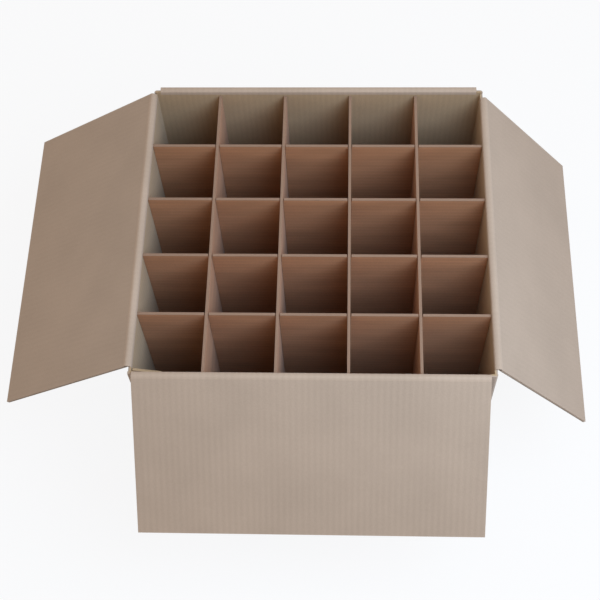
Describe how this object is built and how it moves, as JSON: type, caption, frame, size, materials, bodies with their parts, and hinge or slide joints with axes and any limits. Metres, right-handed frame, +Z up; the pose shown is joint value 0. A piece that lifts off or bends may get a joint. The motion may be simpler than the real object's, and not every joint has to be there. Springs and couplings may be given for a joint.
{
  "type": "bottle shipping box",
  "caption": "Square corrugated shipping box with four hinged top flaps and a lattice of slotted dividers that keeps bottles apart.",
  "frame": {"origin": "middle of the face that the box stands on", "axes": "+X to the right and +Y to the back as the picture shows it, +Z up out of the open top"},
  "size_m": [0.6447, 0.5406, 0.2704],
  "materials": {
    "case_kraft": "matte",
    "divider_kraft": "matte",
    "gummed_tape": "satin"
  },
  "bodies": {
    "box": {"case": "case_kraft", "divider_long_1": "divider_kraft", "divider_long_2": "divider_kraft", "divider_long_3": "divider_kraft", "divider_long_4": "divider_kraft", "divider_cross_1": "divider_kraft", "divider_cross_2": "divider_kraft", "divider_cross_3": "divider_kraft", "divider_cross_4": "divider_kraft", "bottom_tape": "gummed_tape"},
    "left_flap": {"flap_left": "case_kraft"},
    "right_flap": {"flap_right": "case_kraft"},
    "front_flap": {"flap_front": "case_kraft"},
    "back_flap": {"flap_back": "case_kraft"}
  },
  "joints": [
    {"name": "left_flap_fold", "type": "hinge", "parent": "box", "child": "left_flap", "pos_m": [-0.1903, 0, 0.2667], "axis": [0, 1, 0], "range_deg": [-56, 214]},
    {"name": "right_flap_fold", "type": "hinge", "parent": "box", "child": "right_flap", "pos_m": [0.1903, 0, 0.2667], "axis": [0, -1, 0], "range_deg": [-38, 232]},
    {"name": "front_flap_fold", "type": "hinge", "parent": "box", "child": "front_flap", "pos_m": [0, -0.1803, 0.27], "axis": [-1, 0, 0], "range_deg": [-45.5, 224.5]},
    {"name": "back_flap_fold", "type": "hinge", "parent": "box", "child": "back_flap", "pos_m": [0, 0.1803, 0.27], "axis": [1, 0, 0], "range_deg": [-15, 255]}
  ]
}
